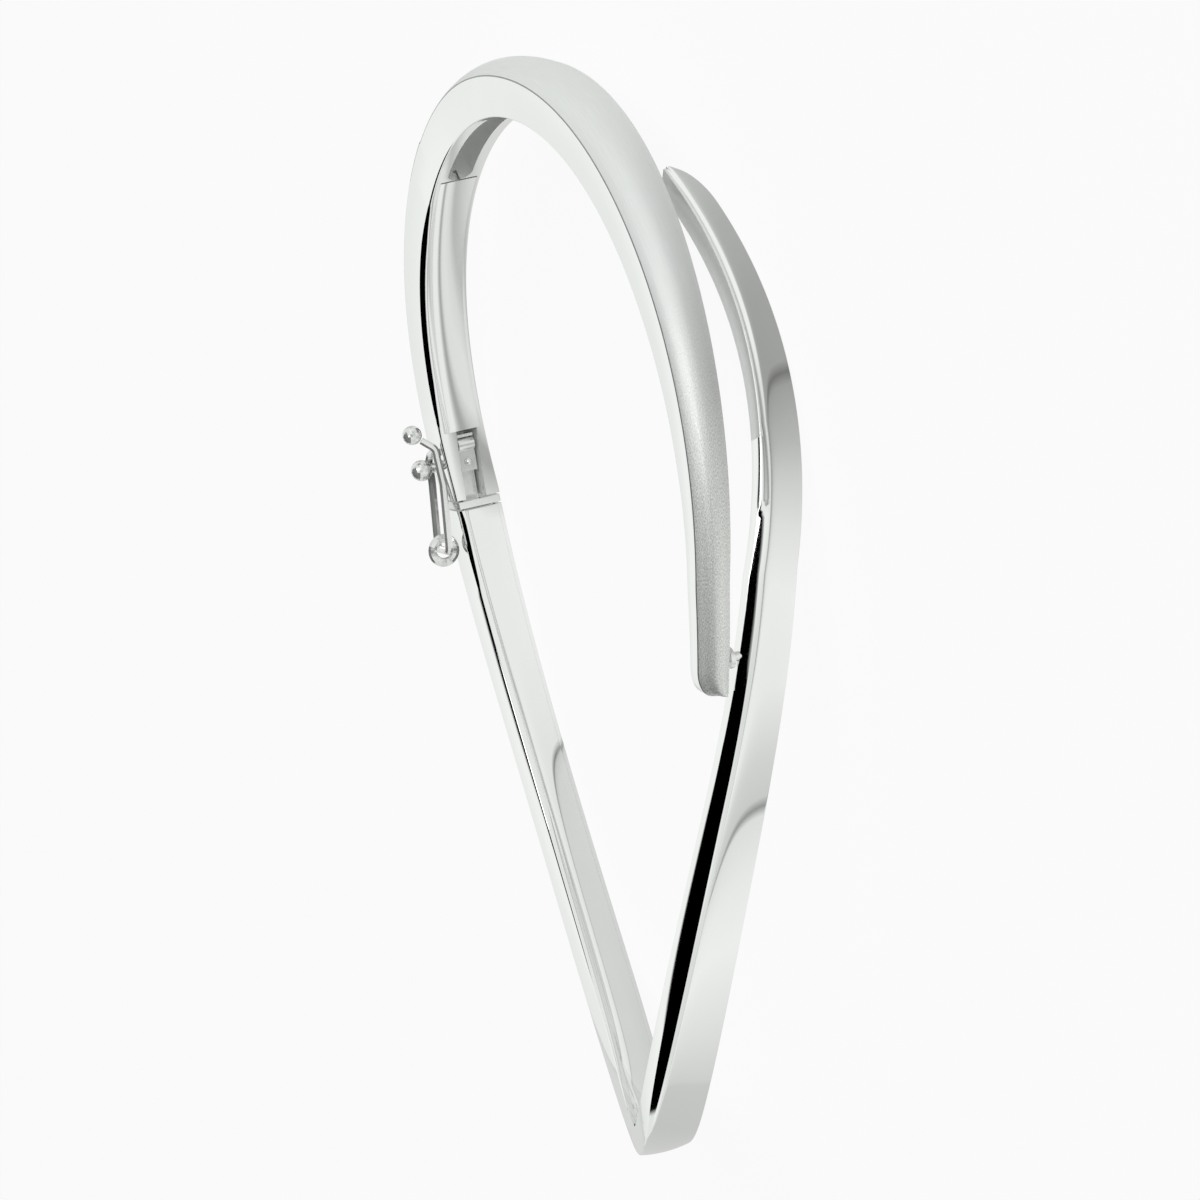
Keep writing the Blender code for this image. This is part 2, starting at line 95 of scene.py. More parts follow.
INNER_BEVEL = 0.30
INNER_BEVEL_TURNS = (8.0, 16.0, 40.0, 49.0)
LOWER_BEVEL_TURNS = (1.0, 3.0, 4.0, 11.0)
LINER_THICK = 0.60
RIM_UPPER = 0.40
RIM_LOWER = 0.28
LINER_END = 53.0
CHANNEL_HALF = 0.80
CHANNEL_END = 170.0
LOWER_LINER_END = 100.0
BOX_MOUTH_X = -0.60
WINDOW_END_X = 3.70
WINDOW_HALF = 0.68
BOX_DEPTH = 2.10
CLASP_LIFT = 0.08
PLATE_THICK = 0.42
HINGE_TURN = 187.0
HINGE_DEPTH = 0.70
PIN_BELOW = 1.00
LEAST_GAP = 0.02

# Fineness of the drawn surfaces: turn between stations, and points round an edge and a face.
STATION_STEP = 0.75
FINE_STEP = 0.2
ROUND_POINTS = 4
FACE_POINTS = 9
SMOOTH_UNDER = 38

# Where a section's outer face and its recess begin, counted in points.
FACE_FIRST = 2 * ROUND_POINTS + 1
RECESS_FIRST = FACE_FIRST + FACE_POINTS + 2 * ROUND_POINTS + 2

# Turns where the satin face and the blade's eased edge begin, and how fast the channel's ends round.
SATIN_STARTS = 45.0
EASED_FROM = 196.0
CHANNEL_ROUND = 0.55
STRIP_SOFT = 0.006

# Finishes: how much of each is mirror rather than plain reflection, and their darkest and lightest tones.
SATIN_METAL = 0.45
RAW_METAL = 0.35
SMALL_METAL = 0.62
EDGE_METAL = 0.5
SATIN_DARK = (0.90, 0.915, 0.905)
SATIN_LIGHT = (0.97, 0.985, 0.975)
# The tip's tones hold painted shade: much darker than the satin overall, besides their speckle.
TIP_DARK = (0.56, 0.565, 0.55)
TIP_LIGHT = (0.92, 0.93, 0.91)
EASED_TONES = ((0.84, 0.85, 0.84), (0.95, 0.96, 0.95))
# Painted dark line: very dark tones for the rounded corner between the satin half's flat side and its
# bevel, standing in for a dark reflection.
PAINTED_LINE_TONES = ((0.30, 0.31, 0.30), (0.42, 0.43, 0.42))
EDGE_ROUGHNESS = 0.35

# Lengths along the satin half, in mm, between which the brushing turns coarse and painted shade darkens
# the tip.
TIP_GRAIN_AND_SHADE = (62.0, 74.0)

# Painted reflections: what the polished faces see of the table, a glow in bands of tone fitted to one
# viewpoint. The round tones are (degrees from the front, brightness) round the bangle, swept with
# distance; the inside tones are (mm along X, brightness).
PAINTED_ROUND_REFLECTIONS = (
    (-170, 0.80), (-150, 0.78), (-120, 0.72), (-95, 0.62), (-78.6, 0.66), (-78, 0.10),
    (-77.4, 0.72), (-64, 0.88), (-50, 1.02), (-40, 0.98), (-30.2, 0.86), (-29.6, 0.12),
    (-29, 0.68), (-22, 0.76), (-12, 0.98), (0, 1.00), (8, 0.88), (15, 0.70), (20, 0.52),
    (26, 0.38), (27.2, 0.34), (28, 0.06), (28.8, 0.36), (38, 0.38), (50, 0.46), (70, 0.70),
    (130, 0.80), (140, 0.56), (170, 0.56),
)
PAINTED_INSIDE_REFLECTIONS = (
    (-30, 0.76), (-20, 0.76), (-13, 0.76), (-12.2, 0.64), (-11.9, 0.12), (-11.6, 0.90),
    (-5, 0.98), (2, 0.98), (5.2, 0.42), (6.1, 0.44), (7, 0.66), (8.2, 0.86), (10.7, 0.88),
    (13.0, 0.80), (15, 0.56), (20, 0.52),
)
INSIDE_SPAN = 0.030
FLOOR_INSIDE = (0.0235, 0.0265)
FLOOR_SWIRL = 0.6
FLOOR_SWIRL_AT = 0.045
FLOOR_GLOW = 0.85
FLOOR_WHITE = 0.93
FLOOR_RADIUS = 1.6
FLOOR_DROP = 2e-5
FLOOR_GREY = (0.86, 0.86, 0.855)

# Light tent: directions and edges (as cosines) of its two dark openings, its tones, and the lamp.
OPENING_TOWARDS = (-0.33, 0.12, 0.936)
OPENING_EDGE = (0.60, 0.64)
FRONT_GAP_TOWARDS = (-0.02, -0.70, 0.70)
FRONT_GAP_EDGE = (0.90, 0.94)
TENT_GREY = (0.76, 0.78, 0.765)
TENT_WHITE = (0.94, 0.96, 0.945)
LAMP_PLACE = (0.25, -0.45, 0.50)
LAMP_SIZE = 0.35
LAMP_POWER = 1.0

# Camera: a long lens near the table's level, rolled so that the blunt end is up.
VIEW_TURN = 21.08
VIEW_RISE = 9.90
VIEW_ROLL = 9.39
VIEW_DISTANCE = 500.0
VIEW_SHIFT = (-1.51, -4.54)
FRAME_WIDTH = 70.78


# ---------------------------------------------------------------- the design's rules

def spline(xs, ys):
    """Natural cubic spline through (xs, ys), as a function."""
    count = len(xs)
    gaps = np.diff(xs)
    slopes = np.diff(ys) / gaps
    system = np.eye(count)
    right = np.zeros(count)
    for i in range(1, count - 1):
        system[i, i - 1:i + 2] = (gaps[i - 1], 2 * (gaps[i - 1] + gaps[i]), gaps[i])
        right[i] = 6 * (slopes[i] - slopes[i - 1])
    bend = np.linalg.solve(system, right)

    def value(x):
        i = int(np.clip(np.searchsorted(xs, x) - 1, 0, count - 2))
        before = x - xs[i]
        after = xs[i + 1] - x
        curved = (bend[i] * after ** 3 + bend[i + 1] * before ** 3) / (6 * gaps[i])
        straight_a = (ys[i] / gaps[i] - bend[i] * gaps[i] / 6) * after
        straight_b = (ys[i + 1] / gaps[i] - bend[i + 1] * gaps[i] / 6) * before
        return curved + straight_a + straight_b

    return value


def outline(angle):
    """Point of the wrist opening at an angle from the clasp, positive towards +X."""
    s = math.sin(math.radians(angle))
    c = math.cos(math.radians(angle))
    reach = (abs(s) ** SQUARENESS + abs(c) ** SQUARENESS) ** (-1 / SQUARENESS)
    x = (BLUNT_HALF if s > 0 else POINTED_HALF) * s * reach
    y = (BACK_DEPTH if c > 0 else FRONT_DEPTH) * c * reach
    return np.array((x, y))


def outward(angle):
    """Unit normal of the wrist opening, pointing away from the wrist."""
    along = outline(angle + 0.05) - outline(angle - 0.05)
    along /= np.linalg.norm(along)
    normal = np.array((-along[1], along[0]))
    return normal if np.dot(normal, outline(angle)) > 0 else -normal


def turn_at_x(x):
    """Signed angle near the clasp where the wrist opening reaches x."""
    low, high = -40.0, 40.0
    for _ in range(50):
        middle = (low + high) / 2
        if outline(middle)[0] < x:
            low = middle
        else:
            high = middle
    return middle


def share_between(value, start, end):
    return min(max((value - start) / (end - start), 0.0), 1.0)


def satin_bevel(turn):
    share = share_between(turn, *SATIN_BEVEL_STARTS)
    return tuple(EDGE + (size - EDGE) * share for size in SATIN_BEVEL)


def blade_bevel(turn):
    swell = math.sin(math.pi * share_between(turn, *BLADE_BEVEL_SPAN)) ** 0.8
    rise, run = (EDGE + (size - EDGE) * swell for size in BLADE_BEVEL)
    lean = share_between(turn, *BLADE_LEAN_SPAN)
    return rise * (1 - 0.45 * lean), run * (1 + 0.25 * lean)


def inner_bevel(band, turn):
    """Size of the bevel on the upper edge of the wrist side, wider along the back of each half."""
    first, full, fade, last = INNER_BEVEL_TURNS if band.direction > 0 else LOWER_BEVEL_TURNS
    swell = min(share_between(turn, first, full), 1 - share_between(turn, fade, last))
    return EDGE + (INNER_BEVEL - EDGE) * swell


class Band:
    """A half band swept round the wrist opening, with a section that changes along it."""

    def __init__(self, direction, stations, bevel, crown, tip, tip_length, tip_keep, tip_side):
        turns, lifts, widths, depths = np.array(stations, float).T
        self.direction = direction
        self.lift = spline(turns, lifts)
        self.width = spline(turns, widths)
        self.depth = spline(turns, depths)
        self.bevel = bevel
        self.crown = crown
        self.tip = tip
        self.tip_length = tip_length
        self.tip_keep = tip_keep
        self.tip_side = tip_side

    def place(self, turn, r, z):
        """World point at depth r outside the wrist opening and height z."""
        angle = self.direction * turn
        x, y = outline(angle) + outward(angle) * r
        return (x, y, z)

    def edges(self, turn):
        """Lower and upper edge heights; the tip's corner is rounded off on one side."""
        half = self.width(turn) / 2
        low = self.lift(turn) - half
        high = self.lift(turn) + half
        into_tip = (turn - self.tip + self.tip_length) / self.tip_length
        if into_tip > 0:
            round_off = 1 - math.sqrt(max(0.0, 1 - min(into_tip, 1.0) ** 2))
            cut = (1 - self.tip_keep) * (high - low) * round_off
            if self.tip_side > 0:
                high -= cut
            else:
                low += cut
        return low, high


SATIN = Band(1, SATIN_STATIONS, satin_bevel, SATIN_CROWN, SATIN_TIP, 2.6, 0.45, 1)
POLISHED = Band(-1, POLISHED_STATIONS, blade_bevel, POLISHED_CROWN, POLISHED_TIP, 7.0, 0.25, -1)
SATIN_BODY = "satin_half"
POLISHED_BODY = "polished_half"


# ---------------------------------------------------------------- sections and lofts

def arc(centre, start, end, count=ROUND_POINTS):
    """Points along an elliptical quarter turn between two points about a centre."""
    points = []
    for i in range(count + 1):
        a = math.radians(90 * i / count)
        points.append(tuple(c + (s - c) * math.cos(a) + (e - c) * math.sin(a)
                            for c, s, e in zip(centre, start, end)))
    return points


def outer_points(band, turn):
    """Section from the upper inner edge, round the outside, to the lower inner edge."""
    low, high = band.edges(turn)
    outer = band.depth(turn)
    rise, run = band.bevel(turn)
    run = min(run, 0.4 * (high - low))
    side = outer - rise
    soft = SATIN_SOFT if band.direction > 0 else BLADE_SOFT
    inner = inner_bevel(band, turn)
    points = [(0, high - inner)]
    if inner > 1.3 * EDGE:
        points += [(0.04 * inner, high - 0.82 * inner), (0.82 * inner, high - 0.04 * inner)]
        points += [(inner, high), (inner + 0.02, high)]
    else:
        points = arc((inner, high - inner), (0, high - inner), (inner, high))
    if rise > EDGE + soft:
        lean = soft / math.hypot(rise, run)
        points += [(side - soft, high), (side - 0.3 * soft, high - 0.06 * soft),
                   (side + rise * lean, high - run * lean)]
        points += [(outer - rise * lean, high - run + run * lean)]
    else:
        points += arc((side, high - run), (side, high), (outer, high - run))[:-1]
    start, end = high - run, low + EDGE
    for i in range(FACE_POINTS + 1):
        share = i / FACE_POINTS
        hump = band.crown * (1 - (2 * share - 1) ** 2)
        points.append((outer + hump, start + (end - start) * share))
    points += arc((outer - EDGE, low + EDGE), (outer, low + EDGE), (outer - EDGE, low))[1:]
    points += arc((EDGE, low + EDGE), (EDGE, low), (0, low + EDGE))
    return points


def with_recess(points, bottom, low, high):
    """Close a section across its inner face, with a rounded-bottomed recess let into it."""
    if bottom < LEAST_GAP:
        count = ROUND_POINTS + 2
        return points + [(0, low)] * count + [(0, high)] * count
    soft = min(0.35 * (high - low), 0.4 * bottom, 0.3)
    lower = arc((bottom - soft, low + soft), (bottom - soft, low), (bottom, low + soft))
    upper = arc((bottom - soft, high - soft), (bottom, high - soft), (bottom - soft, high))
    return points + [(0, low)] + lower + upper + [(0, high)]


def loft(name, band, turns, section, finishes, zone=None, body=None):
    """Solid through a band's sections, with lengths along and across it kept as UVs in mm."""
    bm = bmesh.new()
    uv = bm.loops.layers.uv.new("along_across")
    rows, alongs, acrosses = [], [], []
    travelled = 0.0
    before = None
    for turn in turns:
        points = section(turn)
        rows.append([bm.verts.new(band.place(turn, r, z)) for r, z in points])
        middle = outline(band.direction * turn)
        travelled += 0 if before is None else float(np.linalg.norm(middle - before))
        before = middle
        alongs.append(travelled)
        steps = [math.dist(a, b) for a, b in zip(points, points[1:] + points[:1])]
        acrosses.append(np.concatenate(([0.0], np.cumsum(steps))))
    count = len(rows[0])
    for k in range(len(rows) - 1):
        for i in range(count):
            j = (i + 1) % count
            face = bm.faces.new((rows[k][i], rows[k][j], rows[k + 1][j], rows[k + 1][i]))
            face.material_index = zone(i, turns[k]) if zone else 0
            spots = ((alongs[k], acrosses[k][i]), (alongs[k], acrosses[k][i + 1]),
                     (alongs[k + 1], acrosses[k + 1][i + 1]), (alongs[k + 1], acrosses[k + 1][i]))
            for loop, spot in zip(face.loops, spots):
                loop[uv].uv = spot
    for row, order in ((rows[0], 1), (rows[-1], -1)):
        cap = bm.faces.new(row[::order])
        cap.material_index = zone(-1, turns[0] if order > 0 else turns[-1]) if zone else 0
    bmesh.ops.remove_doubles(bm, verts=bm.verts, dist=2e-4)
    bmesh.ops.dissolve_degenerate(bm, edges=bm.edges, dist=1e-5)
    bmesh.ops.recalc_face_normals(bm, faces=bm.faces)
    return finish_piece(name, bm, finishes, body)


def finish_piece(name, bm, finishes, body):
    """Turn a bmesh in the design's millimetres into a piece riding on a body."""
    for vert in bm.verts:
        vert.co = Vector(vert.co) * MM + ORIGIN
    mesh = bpy.data.meshes.new(name)
    bm.to_mesh(mesh)
    bm.free()
    mesh.shade_smooth()
    mesh.set_sharp_from_angle(angle=math.radians(SMOOTH_UNDER))
    for item in finishes:
        mesh.materials.append(item)
    piece = bpy.data.objects.new(name, mesh)
    bpy.context.scene.collection.objects.link(piece)
    if body:
        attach(piece, body)
    return piece


def design_origin():
    """Where the design's own origin lies: the hinge pin fixes it in plan, the box in height."""
    x, y, _ = SATIN.place(HINGE_TURN, HINGE_DEPTH, 0)
    pin_low, pin_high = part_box("hinge_pin")
    pin = (pin_low + pin_high) / 2
    pin_bottom = POLISHED.lift(360 - HINGE_TURN) - PIN_BELOW
    return Vector((pin.x - x * MM, pin.y - y * MM, pin_low.z - pin_bottom * MM))


ORIGIN = design_origin()


def stations(*spans):
    """Turns along a band: each span is (start, end, step), joined by sharp steps."""
    turns = []
    for start, end, step in spans:
        count = max(2, math.ceil(abs(end - start) / step) + 1)
        turns += [float(t) for t in np.linspace(start, end, count)]
    return turns


def tip_stations(tip, length, count=14):
    """Turns over a rounded tip, closing up towards its end."""
    return [tip - length + length * math.sin(math.radians(90 * i / count)) for i in range(1, count + 1)]


# ---------------------------------------------------------------- materials

def tree_of(material):
    material.use_nodes = True
    return material.node_tree.nodes, material.node_tree.links


def metal(name, roughness, anisotropy=0.0):
    """A silver material and its shader, with the constants on the shader's own sockets."""
    material = bpy.data.materials.new(name)
    nodes, links = tree_of(material)
    shader = nodes["Principled BSDF"]
    shader.inputs["Metallic"].default_value = 1.0
    shader.inputs["Roughness"].default_value = roughness
    shader.inputs["Anisotropic"].default_value = anisotropy
    return material, nodes, links, shader


def noise(nodes, links, vector, scale, detail=2.0):
    texture = nodes.new("ShaderNodeTexNoise")
    texture.inputs["Scale"].default_value = scale
    texture.inputs["Detail"].default_value = detail
    links.new(vector, texture.inputs["Vector"])
    return texture.outputs["Fac"]


def spread(nodes, links, value, low, high, start=0.3, end=0.7):
    """Map a value from start..end to low..high."""
    remap = nodes.new("ShaderNodeMapRange")
    for key, number in (("From Min", start), ("From Max", end), ("To Min", low), ("To Max", high)):
        remap.inputs[key].default_value = number
    links.new(value, remap.inputs["Value"])
    return remap.outputs["Result"]


def tint(nodes, links, value, dark, light):
    mix = nodes.new("ShaderNodeMix")
    mix.data_type = "RGBA"
    mix.inputs["A"].default_value = (*dark, 1.0)
    mix.inputs["B"].default_value = (*light, 1.0)
    links.new(value, mix.inputs["Factor"])
    return mix.outputs["Result"]


def bump(nodes, links, shader, height, strength, depth):
    node = nodes.new("ShaderNodeBump")
    node.inputs["Strength"].default_value = strength
    node.inputs["Distance"].default_value = depth
    links.new(height, node.inputs["Height"])
    links.new(node.outputs["Normal"], shader.inputs["Normal"])


def make_polished_silver():
    """Mirror polish: faint clouding, hairline wear in the gloss, and a trace of hand-polished wave."""
    material, nodes, links, shader = metal("polished_silver", 0.04)
    place = nodes.new("ShaderNodeTexCoord").outputs["Object"]
    cloud = noise(nodes, links, place, 160.0, 3.0)
    hairline = noise(nodes, links, place, 9000.0, 4.0)
    links.new(tint(nodes, links, cloud, (0.875, 0.885, 0.875), (0.925, 0.93, 0.92)),
              shader.inputs["Base Color"])
    links.new(spread(nodes, links, hairline, 0.025, 0.075), shader.inputs["Roughness"])
    bump(nodes, links, shader, noise(nodes, links, place, 220.0, 1.0), 0.25, 6e-6)
    return material


def make_satin_silver():
    """Satin brushing that runs along the band, coarser towards the tip, where painted shade also makes it
    much darker, with a speckle in it.
    """
    material, nodes, links, shader = metal("satin_silver", 0.42, 0.35)
    lengths = nodes.new("ShaderNodeUVMap")
    lengths.uv_map = "along_across"
    stretch = nodes.new("ShaderNodeMapping")
    stretch.inputs["Scale"].default_value = (0.55, 22.0, 1.0)
    links.new(lengths.outputs["UV"], stretch.inputs["Vector"])
    streak = noise(nodes, links, stretch.outputs["Vector"], 1.0, 5.0)
    grain_map = nodes.new("ShaderNodeMapping")
    grain_map.inputs["Scale"].default_value = (4.0, 11.0, 1.0)
    links.new(lengths.outputs["UV"], grain_map.inputs["Vector"])
    grain = noise(nodes, links, grain_map.outputs["Vector"], 1.0, 4.0)
    split = nodes.new("ShaderNodeSeparateXYZ")
    links.new(lengths.outputs["UV"], split.inputs["Vector"])
    near_tip = spread(nodes, links, split.outputs["X"], 0.0, 1.0, TIP_GRAIN_AND_SHADE[0], TIP_GRAIN_AND_SHADE[1])
    coarse = nodes.new("ShaderNodeMix")
    coarse.data_type = "FLOAT"
    links.new(near_tip, coarse.inputs["Factor"])
    links.new(streak, coarse.inputs["A"])
    links.new(grain, coarse.inputs["B"])
    brushing = spread(nodes, links, coarse.outputs["Result"], 0.0, 1.0)
    tone = tint(nodes, links, brushing, SATIN_DARK, SATIN_LIGHT)
    speckle = noise(nodes, links, grain_map.outputs["Vector"], 2.2, 3.0)
    # Speckle and painted shade: towards the tip the satin turns much darker overall, with a speckle in it.
    speckle_and_shade = tint(nodes, links, spread(nodes, links, speckle, 0.0, 1.0, 0.40, 0.60), TIP_DARK, TIP_LIGHT)
    blend = nodes.new("ShaderNodeMix")
    blend.data_type = "RGBA"
    links.new(near_tip, blend.inputs["Factor"])
    links.new(tone, blend.inputs["A"])
    links.new(speckle_and_shade, blend.inputs["B"])
    links.new(blend.outputs["Result"], shader.inputs["Base Color"])
    links.new(spread(nodes, links, streak, 0.34, 0.50), shader.inputs["Roughness"])
    bump(nodes, links, shader, coarse.outputs["Result"], 0.55, 1.6e-5)
    shader.inputs["Metallic"].default_value = SATIN_METAL
    return material


def make_raw_silver():
    """Unpolished insides of the channel and the clasp's box."""
    material, nodes, links, shader = metal("raw_silver", 0.38)
    place = nodes.new("ShaderNodeTexCoord").outputs["Object"]
    grain = noise(nodes, links, place, 5000.0, 4.0)
    cloud = noise(nodes, links, place, 400.0, 2.0)
    links.new(tint(nodes, links, cloud, (0.82, 0.83, 0.82), (0.95, 0.955, 0.945)),
              shader.inputs["Base Color"])
    links.new(spread(nodes, links, grain, 0.30, 0.46), shader.inputs["Roughness"])
    bump(nodes, links, shader, grain, 0.3, 8e-6)
    shader.inputs["Metallic"].default_value = RAW_METAL
    return material


def make_small_silver():
    """Tumbled finish of the soldered-on and sprung pieces."""
    material, nodes, links, shader = metal("tumbled_silver", 0.12)
    place = nodes.new("ShaderNodeTexCoord").outputs["Object"]
    grain = noise(nodes, links, place, 3000.0, 3.0)
    links.new(tint(nodes, links, grain, (0.86, 0.87, 0.86), (0.93, 0.94, 0.93)),
              shader.inputs["Base Color"])
    links.new(spread(nodes, links, grain, 0.08, 0.16), shader.inputs["Roughness"])
    shader.inputs["Metallic"].default_value = SMALL_METAL
    return material


def make_edge_silver(name, dark, light):
    """Eased edges, softer than the faces beside them; given very dark tones, the same finish makes a
    painted dark line that stands in for a reflection.
    """
    material, nodes, links, shader = metal(name, EDGE_ROUGHNESS)
    place = nodes.new("ShaderNodeTexCoord").outputs["Object"]
    grain = noise(nodes, links, place, 2500.0, 3.0)
    links.new(tint(nodes, links, grain, dark, light), shader.inputs["Base Color"])
    shader.inputs["Metallic"].default_value = EDGE_METAL
    return material


POLISH = make_polished_silver()
BRUSH = make_satin_silver()
RAW = make_raw_silver()
SMALL = make_small_silver()
EASED = make_edge_silver("eased_edge", *EASED_TONES)
# Painted dark line along the satin half's upper edge, standing in for a dark reflection.
PAINTED_LINE = make_edge_silver("painted_dark_line", *PAINTED_LINE_TONES)


# ---------------------------------------------------------------- the two half bands

def satin_recess(turn):
    """Bottom, low and high of what is let into the satin half's inner face at a turn."""
    low, high = SATIN.edges(turn)
    if turn <= WINDOW_TURN:
        return BOX_DEPTH, CLASP_LIFT - WINDOW_HALF, CLASP_LIFT + WINDOW_HALF
    if turn <= LINER_END:
        return LINER_THICK + SEAM, low + RIM_LOWER, high - RIM_UPPER
    if turn <= CHANNEL_END:
        middle = SATIN.lift(turn)
        narrow = min(0.0, 0.5 * (SATIN.width(turn) - 2 * CHANNEL_HALF) - 0.45)
        ends = min(turn - LINER_END, CHANNEL_END - turn) * CHANNEL_ROUND
        rounded = math.sqrt(max(0.0, 1 - max(0.0, 1 - ends) ** 2))
        half = max((CHANNEL_HALF + narrow) * rounded, 0.05)
        return SATIN.depth(turn) - 0.55, middle - half, middle + half
    return 0.0, low + EDGE, high - EDGE


def satin_section(turn):
    return with_recess(outer_points(SATIN, turn), *satin_recess(turn))


def polished_recess(turn):
    low, high = POLISHED.edges(turn)
    if turn <= LOWER_LINER_END:
        return LINER_THICK + SEAM, low + RIM_LOWER, high - RIM_UPPER
    return 0.0, low + EDGE, high - EDGE


def polished_section(turn):
    return with_recess(outer_points(POLISHED, turn), *polished_recess(turn))


def satin_zone(index, turn):
    """The outer face is satin from where its bevel begins, the recess is raw, the rounded corner between
    the flat side and the bevel carries a painted dark line, and the rest is polished.
    """
    if RECESS_FIRST <= index < RECESS_FIRST + 2 * ROUND_POINTS + 3:
        return 2
    # Painted dark line on the rounded corner between the flat side and the bevel.
    if turn > SATIN_STARTS and FACE_FIRST - 4 <= index <= FACE_FIRST - 3:
        return 3
    brushed = FACE_FIRST - 2 <= index < FACE_FIRST + FACE_POINTS + ROUND_POINTS
    return 1 if turn > SATIN_STARTS and brushed else 0


def polished_zone(index, turn):
    """The thin edge beyond the blade's bevel is eased."""
    return 1 if turn > EASED_FROM and FACE_FIRST - 5 <= index < FACE_FIRST else 0


def strip_section(band):
    """Rounded rectangle that fills a liner's seat."""
    def section(turn):
        low, high = band.edges(turn)
        bottom, top = low + RIM_LOWER + DRAWN_SEAM, high - RIM_UPPER - DRAWN_SEAM
        points = arc((STRIP_SOFT, top - STRIP_SOFT), (0, top - STRIP_SOFT), (STRIP_SOFT, top), 2)
        points += [(LINER_THICK, top), (LINER_THICK, bottom)]
        points += arc((STRIP_SOFT, bottom + STRIP_SOFT), (STRIP_SOFT, bottom), (0, bottom + STRIP_SOFT), 2)
        return points
    return section


WINDOW_TURN = turn_at_x(WINDOW_END_X)
MOUTH_TURN = turn_at_x(BOX_MOUTH_X)
START_TURN = -turn_at_x(BOX_MOUTH_X - PLATE_THICK - 2 * SEAM)


def make_bands():
    tip = SATIN.tip - SATIN.tip_length
    turns = stations(
        (MOUTH_TURN, WINDOW_TURN, STATION_STEP),
        (WINDOW_TURN + LEAST_GAP, LINER_END, STATION_STEP),
        (LINER_END + LEAST_GAP, LINER_END + 3, FINE_STEP),
        (LINER_END + 3.5, CHANNEL_END - 3, STATION_STEP),
        (CHANNEL_END - 2.8, CHANNEL_END, FINE_STEP),
        (CHANNEL_END + LEAST_GAP, tip, STATION_STEP))
    satin = loft("satin_band", SATIN, turns + tip_stations(SATIN.tip, SATIN.tip_length), satin_section,
                 (POLISH, BRUSH, RAW, PAINTED_LINE), satin_zone, SATIN_BODY)
    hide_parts("satin_shell")
    tip = POLISHED.tip - POLISHED.tip_length
    turns = stations((START_TURN, LOWER_LINER_END, STATION_STEP),
                     (LOWER_LINER_END + LEAST_GAP, tip, STATION_STEP))
    polished = loft("polished_band", POLISHED, turns + tip_stations(POLISHED.tip, POLISHED.tip_length),
                    polished_section, (POLISH, EASED), polished_zone, POLISHED_BODY)
    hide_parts("polished_shell")
    for name, node, band, body, start, end in (
            ("satin_inner_strip", "satin_liner", SATIN, SATIN_BODY, WINDOW_TURN, LINER_END - 0.3),
            ("polished_inner_strip", "polished_liner", POLISHED, POLISHED_BODY, START_TURN + 0.05,
             LOWER_LINER_END - 0.3)):
        turns = stations((start, end, STATION_STEP))
        strip = loft(name, band, turns, strip_section(band), (POLISH,), None, body)
        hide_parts(node)


# ---------------------------------------------------------------- stage, light and camera

def view_axes():
    """Unit vectors towards the camera, to its right and up, in the world."""
    turn, rise, roll = (math.radians(a) for a in (VIEW_TURN, VIEW_RISE, VIEW_ROLL))
    toward = (math.cos(turn) * math.cos(rise), math.sin(rise), math.sin(turn) * math.cos(rise))
    right = (math.sin(turn), 0.0, -math.cos(turn))
    up = (-math.cos(turn) * math.sin(rise), math.cos(rise), -math.sin(turn) * math.sin(rise))
    to_world = [Vector((v[1], -v[0], v[2])) for v in (toward, right, up)]
    toward, right, up = to_world
    rolled_right = right * math.cos(roll) - up * math.sin(roll)
    rolled_up = right * math.sin(roll) + up * math.cos(roll)
    return toward, rolled_right, rolled_up


def make_camera():
    toward, right, up = view_axes()
    data = bpy.data.cameras.new("camera")
    data.sensor_width = 36.0
    data.lens = 36.0 * VIEW_DISTANCE / FRAME_WIDTH
    data.clip_start = 0.01
    data.clip_end = 20.0
    camera = bpy.data.objects.new("camera", data)
    target = ORIGIN + (right * VIEW_SHIFT[0] + up * VIEW_SHIFT[1]) * MM
    place = target + toward * VIEW_DISTANCE * MM
    turn = Matrix((right, up, toward)).transposed()
    camera.matrix_world = Matrix.Translation(place) @ turn.to_4x4()
    bpy.context.scene.collection.objects.link(camera)
    bpy.context.scene.camera = camera


def mix_shaders(nodes, links, share, first, second):
    """Blend of two shaders; the share is a number or another node's output."""
    mix = nodes.new("ShaderNodeMixShader")
    if isinstance(share, float):
        mix.inputs["Fac"].default_value = share
    else:
        links.new(share, mix.inputs["Fac"])
    links.new(first, mix.inputs[1])
    links.new(second, mix.inputs[2])
    return mix.outputs["Shader"]


def tone_ramp(nodes, links, along, tones, span, shift):
    """Greys set out by their places along a span, from a share that runs from 0 to 1."""
    ramp = nodes.new("ShaderNodeValToRGB")
    stops = ramp.color_ramp.elements
    while len(stops) > 1:
        stops.remove(stops[-1])
    for i, (place, level) in enumerate(tones):
        spot = min(max(place / span + 0.5 + shift, 0.0), 1.0)
        stop = stops[0] if i == 0 else stops.new(spot)
        stop.position = spot
        stop.color = (level, level * 1.012, level * 0.995, 1.0)
    links.new(along, ramp.inputs["Fac"])
    return ramp.outputs["Color"]


